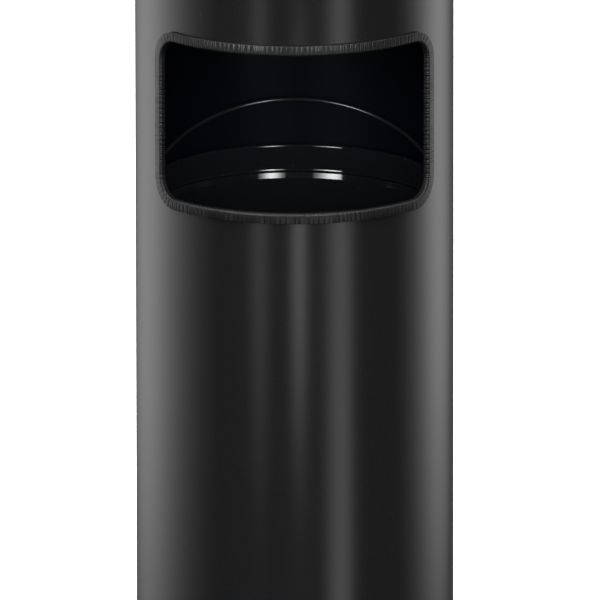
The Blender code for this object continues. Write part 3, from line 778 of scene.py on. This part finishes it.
def ring_sinks(radius, height, angles):
    """How far the ring's outer face is sunk for each rivet head: a flat floor with a short steep edge."""
    sunk = 0
    for centre in RIVET_ANGLES:
        away = (angles - centre + math.pi) % math.tau - math.pi
        distance = np.hypot(away * RING_OUT, height - RIVET_HEIGHT)
        sunk = sunk + np.clip((SINK_RADIUS - distance) / SINK_EDGE + 1, 0, 1)
    outer_face = radius > RING_OUT - 0.0003
    return -SINK_DEPTH * sunk * outer_face


def make_ring():
    """The floor ring: a filleted section turned round, its outer face finely divided for the rivet sinks.

    Known fault: the fine band goes in before the wall's upper support point, so the wall folds back there.
    """
    foot = RING_OUT - RING_FOOT_WIDTH
    corners = [
        (RING_OUT, RING_HIGH.z, 0.0012), (RING_OUT, 0, 0.0012), (foot, 0, 0.0006), (foot, RING_STEP, 0.0006),
        (RING_IN, RING_STEP, 0.0004), (RING_IN, RING_HIGH.z, 0.0005),
    ]
    line = bent(corners, closed=True)
    face = (line[:, 0] == RING_OUT) & (line[:, 1] > 0.002)
    wall = np.linspace(RIVET_HEIGHT + SINK_FIELD, RIVET_HEIGHT - SINK_FIELD, SINK_ROWS)
    first = int(np.argmin(np.where(face, line[:, 1], 9)))
    wall_points = np.stack([np.full(SINK_ROWS, RING_OUT), wall], 1)
    line = np.concatenate([line[:first], wall_points, line[first:]])
    reach = SINK_FIELD / RING_OUT
    angles = angles_round(ROUND_COLUMNS, [(angle, reach, SINK_COLUMNS) for angle in RIVET_ANGLES])
    turned("floor_ring", line, ring_plastic, "bin", ["base_ring"], angles, ring_sinks)


def make_plate():
    """The base pan: a shallow recess, a step up, and a flange turned down."""
    out, top = PLATE_HIGH.x, PLATE_HIGH.z
    step = out - PAN_RIM_WIDTH
    line = bent([
        (0, top - PAN_RECESS, 0), (step - 0.003, top - PAN_RECESS, 0.003), (step + 0.001, top, 0.003),
        (out, top, 0.002), (out, PLATE_LOW.z, 0),
    ])
    outline = sheet_faces(line, PAN_SHEET, 1)
    turned("base_pan", outline, charcoal_paint, "bin", ["base_plate"])


def rivet_line(head, head_height, shank, grip, tail, tail_height):
    """A rivet's section as (radius, along): a low dome, the shank, and a flared tail."""
    dome = np.linspace(0, 1, 9)
    sphere = (head**2 + head_height**2) / (2 * head_height)
    crown = np.stack([head * dome, np.sqrt(sphere**2 - (head * dome) ** 2) - sphere + head_height], 1)
    rest = bent([
        (head, 0, 0), (shank, 0, 0), (shank, -grip, 0), (tail, -grip, 0),
        (tail * 0.92, -grip - tail_height, tail_height * 0.5), (0, -grip - tail_height, 0),
    ])
    return np.concatenate([crown, rest[1:]])


def make_rivet(name, node, body, outward, sizes):
    """A rivet's section turned round its own outward axis, placed by its node's box."""
    low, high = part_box(node)
    centre = np.array((low + high) / 2)
    _, head_height, _, grip, _, tail_height = sizes
    line = rivet_line(*sizes)
    outward = unit(np.array(outward, float))
    side = unit(np.cross(outward, (0, 0, 1)))
    up = np.cross(side, outward)
    middle = (head_height - grip - tail_height) / 2
    angles = np.linspace(0, math.tau, 40, endpoint=False)
    radius = line[:, :1, None]
    spoke = np.cos(angles)[:, None] * side + np.sin(angles)[:, None] * up
    points = centre + (line[:, 1:, None] - middle) * outward + radius * spoke[None]
    faces = quads_of(len(line), len(angles), False, True)
    bend = bend_of(line, False)[:, None]
    add_surface(name, points, faces, rivet_steel, body, [node], bend)


def make_base_rivets():
    """Each rivet lies along its radius, about the middle of its node's box."""
    for number in range(1, 5):
        low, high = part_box(f"base_rivet_{number}")
        middle = np.array((low + high) / 2)
        outward = (middle[0], middle[1], 0)
        grip = RING_OUT - 2 * FIT_GAP - RIVET_HEAD_HEIGHT - (PLATE_HIGH.x - PAN_SHEET)
        tail = (BASE_RIVET_TAIL, BASE_RIVET_TAIL_HEIGHT)
        sizes = (RIVET_HEAD, RIVET_HEAD_HEIGHT, BASE_RIVET_SHANK, grip, *tail)
        make_rivet(f"base_rivet_zinc_{number}", f"base_rivet_{number}", "bin", outward, sizes)


make_ring()
make_plate()
make_base_rivets()


# ---------------------------------------------------------------- liner

RIM_BEAD = 0.0018
SWAGE_TOP_DROP = 0.0222
SWAGE_STEP = 0.0020
SWAGE_DEPTH = 0.0014
SWAGE_SLOPE = 0.0068
SWAGE_RIDGE = 0.0003
LINER_COLLAR = 0.0011
LINER_NICK_DEPTH = 0.0007
LINER_NICK_WIDTH = 0.0005
EYE_CLEARANCE = 0.00025
LUG_POWER = 7.0


def liner_line():
    """The liner's outer face, bottom to top: the seam's collar, the wall, the swage and the curled rim.

    The swage steps out sharply under its top edge and comes back to the wall on a long slope.
    """
    bottom, top = LINER_LOW.z, LINER_HIGH.z
    swage = top - SWAGE_TOP_DROP
    collar = LINER_OUT + LINER_COLLAR
    corners = [
        (collar, bottom, 0), (collar, bottom + 0.0030, 0.0006), (LINER_OUT, bottom + 0.0042, 0.0008),
        (LINER_OUT, swage - SWAGE_SLOPE, 0.004),
        (LINER_OUT + SWAGE_DEPTH, swage - SWAGE_STEP, 0.0005),
        (LINER_OUT - SWAGE_RIDGE, swage + 0.0002, 0.0002),
        (LINER_OUT, swage + 0.0011, 0.0008),
        (LINER_OUT, swage + 0.0022, 0),
        (LINER_OUT, swage + 0.0032, 0),
        (LINER_OUT, top - RIM_BEAD - 0.001, 0),
        (LINER_OUT, top - RIM_BEAD, 0),
    ]
    wall = bent(corners)
    curl_radius = RIM_BEAD - LINER_SHEET
    turn = np.radians(np.linspace(180, -120, 19))
    curl = np.stack([
        LINER_OUT + curl_radius + curl_radius * np.cos(turn), top - RIM_BEAD + curl_radius * np.sin(turn)
    ], 1)
    return np.concatenate([wall[:-1], curl])


def liner_push(radius, height, angles):
    """The lapped side seam: a narrow step inwards, and a nick where the curled rim's ends meet."""
    lap = -LINER_SEAM_STEP * ridge(angles, LINER_SEAM, LINER_SEAM_WIDTH, LINER_OUT)
    rim = np.clip((height - (LINER_HIGH.z - 2 * RIM_BEAD)) / RIM_BEAD, 0, 1)
    cut = -LINER_NICK_DEPTH * ridge(angles, LINER_SEAM, LINER_NICK_WIDTH, LINER_OUT)
    nick = cut * rim * (radius > LINER_OUT)
    return lap + nick


def make_liner():
    """The liner's wall and its pressed floor: two bent sheets, each turned once round the bin's axis."""
    seam = [(LINER_SEAM, 0.0036 / LINER_OUT, 25)]
    outline = sheet_faces(liner_line(), LINER_SHEET, -1)
    turned(
        "liner_wall", outline, gloss_black, "liner", ["liner_body"],
        angles_round(ROUND_COLUMNS, seam), liner_push,
    )
    floor_out, floor_under = FLOOR_HIGH.x, FLOOR_LOW.z
    pan = bent([
        (0, floor_under, 0), (floor_out * 0.55, floor_under, 0.004),
        (floor_out * 0.56, floor_under + 0.0006, 0.004), (floor_out, floor_under + 0.0006, 0.0016),
        (floor_out, FLOOR_HIGH.z - LINER_SHEET / 2, 0),
    ])
    outline = sheet_faces(pan, LINER_SHEET, -1)
    turned("liner_pan", outline, gloss_black, "liner", ["liner_floor"])


def make_ear(side, word):
    """A lug round the wire's eye: rays from the eye to the outline, each with a section round the sheet.

    The outline is a superellipse: sign(cos t) |cos t|^(2/power) across, and the same of sin t up and down.
    """
    low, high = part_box(f"bail_ear_{word}")
    half_wide, top, bottom = (high.y - low.y) / 2, high.z - PIVOT[2], low.z - PIVOT[2]
    middle, half_tall = (top + bottom) / 2, (top - bottom) / 2
    eye = WIRE_RADIUS + EYE_CLEARANCE
    turn = np.linspace(0, math.tau, 96, endpoint=False)
    across = np.sign(np.cos(turn)) * np.abs(np.cos(turn)) ** (2 / LUG_POWER) * half_wide
    tall = middle + np.sign(np.sin(turn)) * np.abs(np.sin(turn)) ** (2 / LUG_POWER) * half_tall
    outer = np.stack([across, tall], 1)
    ring = np.stack([np.cos(turn), np.sin(turn)], 1) * eye
    depth = high.x - low.x
    span = np.array([0.0, 0.0, 0.03, 0.06, 0.5, 0.94, 0.97, 1.0, 1.0, 1.0, 0.97, 0.94, 0.5, 0.06, 0.03, 0.0])
    rise = np.array([0.75, 0.25, 0.08, 0.0, 0.0, 0.0, 0.08, 0.25, 0.5, 0.75, 0.92, 1.0, 1.0, 1.0, 0.92, 0.9])
    flat = ring[None] + (outer - ring)[None] * span[:, None, None]
    x = side * (abs(low.x if side > 0 else high.x) + depth * rise)
    x = np.broadcast_to(x[:, None], flat.shape[:2])
    points = np.stack([x, flat[..., 0], PIVOT[2] + flat[..., 1]], -1)
    faces = quads_of(len(span), len(turn), True, True)
    bend = np.where((span < 0.05) | (span > 0.95), 0.8, 0.0)[:, None]
    add_surface(
        f"bail_lug_{word}", points, faces, gloss_black, "liner",
        [f"bail_ear_{word}"], bend,
    )


def make_ears():
    for side, word in ((-1, "left"), (1, "right")):
        make_ear(side, word)
        for level in ("upper", "lower"):
            node = f"ear_rivet_{word}_{level}"
            low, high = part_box(node)
            head = (high.z - low.z) / 2
            grip = high.x - low.x - (RIVET_HEAD_HEIGHT + LUG_RIVET_TAIL_HEIGHT)
            sizes = (head, RIVET_HEAD_HEIGHT, LUG_RIVET_SHANK, grip, LUG_RIVET_TAIL, LUG_RIVET_TAIL_HEIGHT)
            make_rivet(f"lug_rivet_{word}_{level}", node, "liner", (side, 0, 0), sizes)


make_liner()
make_ears()


# ---------------------------------------------------------------- bail

BAIL_RADIUS = SHELL_IN - 0.00355 - WIRE_RADIUS
BAIL_LEG = 0.0171
BAIL_CORNER = 0.004
BAIL_BACK_CLEARANCE = 0.0005


def bail_line(lean):
    """Points of the wire and its thickness: a headed end, a bend, the half circle, and the same mirrored.

    In the bail's own plane the arc is (R cos t, leg + R sin t); the plane rises from the pivot at the lean.
    """
    radius, leg, bend = BAIL_RADIUS, BAIL_LEG, BAIL_CORNER
    face = LINER_IN - FIT_GAP
    head = np.array([(face - back, 0) for back in (0.0017, 0.0016, 0.0012, 0.0004, 0.0)])
    thick = [0.7, 1.35, 1.6, 1.6, 1.25, 1.0]
    neck = [(face + 0.0002, 0)]
    turn = np.radians(np.linspace(-90, 0, 12))
    corner = np.stack([radius - bend + bend * np.cos(turn), bend + bend * np.sin(turn)], 1)
    over = np.radians(np.linspace(0, 90, 81))
    arch = np.stack([radius * np.cos(over), leg + radius * np.sin(over)], 1)
    half = np.concatenate([head, neck, corner, arch])
    size = np.concatenate([thick, np.ones(len(corner) + len(arch))])
    line = np.concatenate([half, (half * (-1, 1))[-2::-1]])
    size = np.concatenate([size, size[-2::-1]])
    places = np.stack([line[:, 0], math.cos(lean) * line[:, 1], math.sin(lean) * line[:, 1]], 1) + PIVOT
    return places, size


def make_bail():
    """A round wire: a circle of the wire's radius carried along the line, closed at both heads."""
    reach = SHELL_IN - WIRE_RADIUS - BAIL_BACK_CLEARANCE
    lean = math.atan2(BAIL_LEG, math.sqrt(reach**2 - BAIL_RADIUS**2))
    places, size = bail_line(lean)
    ahead = unit(np.gradient(places, axis=0))
    plane = np.array([0, -math.sin(lean), math.cos(lean)])
    side = unit(np.cross(ahead, plane))
    turn = np.linspace(0, math.tau, 24, endpoint=False)
    ring = np.cos(turn)[None, :, None] * side[:, None] + np.sin(turn)[None, :, None] * plane
    points = places[:, None] + WIRE_RADIUS * size[:, None, None] * ring
    ends = [np.broadcast_to(places[k], points[:1].shape) for k in (0, -1)]
    points = np.concatenate([ends[0], points, ends[1]])
    faces = quads_of(len(points), len(turn), False, True)
    bend = np.concatenate([[0.6], np.clip(size - 0.9, 0, 1), [0.6]])[:, None]
    add_surface("bail_wire", points, faces, wire_paint, "bail", ["bail_handle"], bend)


make_bail()


# ---------------------------------------------------------------- ash bowl

BOWL_SHEET = 0.0012
BOWL_ROUND = 0.0018
BOWL_FILLET = 0.008
BOWL_TAPER = 0.006
BOWL_LIP_DROP = 0.0094
SAND_DROP = 0.018
DUNE_WAVES = 26
DUNE_STEEPNESS = 0.0018
GRAIN_HEIGHT = 0.00012
GRAIN_FADE = 0.2


def make_bowl():
    """The dish's under face, from its middle outwards: floor, fillet, tapered wall, flange and lip."""
    under, top, lip = BOWL_LOW.z, BOWL_HIGH.z, BOWL_HIGH.x - BOWL_SHEET
    wall_top = SHELL_OUT - 2 * FOLD_RADIUS - 0.001
    inner = BOWL_ROUND - BOWL_SHEET
    line = bent([
        (0, under, 0), (wall_top - BOWL_TAPER, under, BOWL_FILLET), (wall_top, top - BOWL_SHEET, inner),
        (lip, top - BOWL_SHEET, inner), (lip, top - BOWL_LIP_DROP, 0),
    ])
    outline = sheet_faces(line, BOWL_SHEET, -1)
    turned("ash_bowl_dish", outline, charcoal_paint, "bowl", ["ash_bowl"])


def sand_height(x, y):
    """Low dunes: sine waves of drawn bearing, length and phase, as high as their length times a steepness."""
    draw = np.random.default_rng(11)
    height = 0 * x
    for _ in range(DUNE_WAVES):
        bearing, length = draw.uniform(0, math.tau), draw.uniform(0.012, 0.06)
        phase = draw.uniform(0, math.tau)
        wave = np.sin((x * math.cos(bearing) + y * math.sin(bearing)) * math.tau / length + phase)
        height = height + wave * length * DUNE_STEEPNESS
    return height


def make_sand():
    """A disc of rings and spokes: z = crown (1 - share^2) + dunes + grains, closed below by a bowl shape."""
    radius = SAND_HIGH.x - 0.0002
    edge_height = BOWL_HIGH.z - SAND_DROP
    share = np.linspace(0, 1, 150)[:, None]
    angles = angles_round(300)
    place = round_z(radius * share, angles, 0.0)
    dunes = sand_height(place[..., 0], place[..., 1])
    crown = (SAND_HIGH.z - 0.0006 - edge_height) * (1 - share**2)
    top = edge_height + crown + np.clip(dunes, -0.0012, 0.0006) * (1 - share**6)
    top = np.minimum(top, SAND_HIGH.z)
    grains = np.random.default_rng(3).uniform(-1, 1, top.shape) * GRAIN_HEIGHT
    grains[0] = grains[0, 0]
    place[..., 2] = top + grains * np.clip(share / GRAIN_FADE, 0, 1) ** 2
    floor_line = bent([
        (radius, edge_height, 0), (radius - 0.0042, SAND_LOW.z + 0.0068, 0.02),
        (radius - 0.011, SAND_LOW.z, 0.004), (0, SAND_LOW.z, 0),
    ])[1:]
    below = round_z(floor_line[:, :1], angles, floor_line[:, 1:])
    points = np.concatenate([place, below])
    faces = quads_of(len(points), len(angles), False, True)
    add_surface("levelled_sand", points, faces, sand_finish, "bowl", ["sand_bed"])


make_bowl()
make_sand()

clip_node = frame["nodes"]["trim_clip_core"]
clip_node.data.materials.clear()
clip_node.data.materials.append(clip_steel)


# ---------------------------------------------------------------- studio

FLOOR_HALF = 30.0


def make_floor():
    """A wide pale floor at the bin's foot that only the camera sees: it adds no light, glare or shadow."""
    mesh = bpy.data.meshes.new("studio_floor")
    half = FLOOR_HALF
    corners = [(-half, -half, 0), (half, -half, 0), (half, half, 0), (-half, half, 0)]
    mesh.from_pydata(corners, [], [(0, 1, 2, 3)])
    finish = bpy.data.materials.new("pale_floor")
    finish.use_nodes = True
    shader = finish.node_tree.nodes["Principled BSDF"]
    shader.inputs["Base Color"].default_value = grey(0.93)
    shader.inputs["Roughness"].default_value = 0.9
    shader.inputs["Specular IOR Level"].default_value = 0.0
    shader.inputs["Emission Color"].default_value = grey(1.0)
    shader.inputs["Emission Strength"].default_value = 1.0
    mesh.materials.append(finish)
    floor = show("studio_floor", mesh)
    floor.location.z = -0.0002
    floor.visible_glossy = False
    floor.visible_diffuse = False
    floor.visible_shadow = False


PANEL_COLUMNS = 17
PANEL_ROWS = 13
PANEL_FALL = 2.77
FRONT_LIGHT = 0.055
BACK_LIGHT = 0.13
OVERHEAD_LIGHT = 2.6


def make_world():
    """White to the camera. To the bin: dim in front, a little lighter behind, and a broad light overhead."""
    world = bpy.data.worlds.new("studio")
    world.use_nodes = True
    tree = world.node_tree
    background = tree.nodes["Background"]
    way = put(tree, "ShaderNodeTexCoord").outputs["Generated"]
    parts = put(tree, "ShaderNodeSeparateXYZ", {0: way}).outputs
    around = between(tree, parts["Y"], -0.3, 0.9, FRONT_LIGHT, BACK_LIGHT)
    light = plus(tree, around, between(tree, parts["Z"], 0.50, 0.80, 0.0, OVERHEAD_LIGHT))
    seen = put(tree, "ShaderNodeLightPath").outputs["Is Camera Ray"]
    strength = plus(tree, times(tree, light, minus(tree, 1.0, seen)), seen)
    tree.links.new(strength, background.inputs["Strength"])
    background.inputs["Color"].default_value = grey(1.0)
    bpy.context.scene.world = world


def make_panel(name, bearing, width, low, high, distance, strength, fade, soft_fill=False):
    """An upright soft light that faces the bin, and that fades towards its sides and over its ends.

    bearing and width are degrees seen from the bin, about whose axis the panel is curved. A soft fill lights
    only the matt side of a surface, and any other panel only its gloss.
    """
    across = np.radians(bearing + width * np.linspace(-1, 1, PANEL_COLUMNS))
    height = np.linspace(low - fade, high + fade, PANEL_ROWS)[:, None]
    points = round_z(distance, across, height)
    faces = quads_of(len(height), len(across), False, False).reshape(-1, 4)
    mesh = bpy.data.meshes.new(name)
    mesh.from_pydata(points.reshape(-1, 3).tolist(), [], faces.tolist())
    side = np.broadcast_to(np.linspace(-1, 1, PANEL_COLUMNS), points.shape[:2])
    glow_side = np.exp(-PANEL_FALL * side**2)
    soft = np.clip(np.minimum(height - (low - fade), (high + fade) - height) / (2 * fade), 0, 1)
    glow = glow_side * (soft * soft * (3 - 2 * soft))
    mesh.attributes.new("glow", "FLOAT", "POINT").data.foreach_set("value", glow.ravel().astype(np.float32))
    finish = bpy.data.materials.new(name)
    finish.use_nodes = True
    tree = finish.node_tree
    tree.nodes.clear()
    value = put(tree, "ShaderNodeAttribute", attribute_name="glow").outputs["Fac"]
    light = put(tree, "ShaderNodeEmission", {"Strength": times(tree, value, strength)})
    put(tree, "ShaderNodeOutputMaterial", {"Surface": light.outputs[0]})
    mesh.materials.append(finish)
    panel = show(name, mesh)
    panel.visible_camera = False
    panel.visible_diffuse = soft_fill
    panel.visible_glossy = not soft_fill
    panel.visible_shadow = False


def make_camera():
    """A long lens at the height of the usual standing look, aimed a little under the mouth."""
    distance, rise, width, roll = 20.0, math.radians(15.7), 0.4908, -0.0013
    target = np.array((0.0043, 0.0, 0.2768))
    data = bpy.data.cameras.new("camera")
    data.sensor_width = 36.0
    data.lens = data.sensor_width * distance / width
    data.clip_end = 200.0
    camera = show("camera", data)
    camera.location = target + distance * np.array((0, -math.cos(rise), math.sin(rise)))
    turn = Matrix.Rotation(math.pi / 2 - rise, 3, "X") @ Matrix.Rotation(roll, 3, "Z")
    camera.rotation_euler = turn.to_euler()
    bpy.context.scene.camera = camera


make_floor()
make_world()
make_panel("wall_light_left", -114.0, 56.0, -0.43, 1.0, 1.6, 1.85, 0.30)
make_panel("wall_light_right", 117.0, 39.0, -0.37, 1.0, 1.6, 1.80, 0.30)
make_panel("strip_left", -24.0, 10.0, -0.10, 0.35, 1.2, 0.9, 0.15)
make_panel("strip_middle", 3.0, 8.0, -0.065, 0.175, 1.2, 2.6, 0.12)
make_panel("strip_right", 31.5, 13.5, -0.50, 0.40, 1.2, 1.6, 0.10)
make_panel("softbox_left", -31.0, 16.0, 0.85, 3.7, 6.0, 20.0, 0.20)
make_panel("softbox_right", 18.5, 11.0, 0.85, 3.7, 6.0, 20.0, 0.20)
make_panel("fill_light", 0.0, 45.0, 0.9, 3.4, 6.0, 2.9, 0.40, soft_fill=True)
make_camera()
bpy.context.scene.view_settings.view_transform = "Standard"
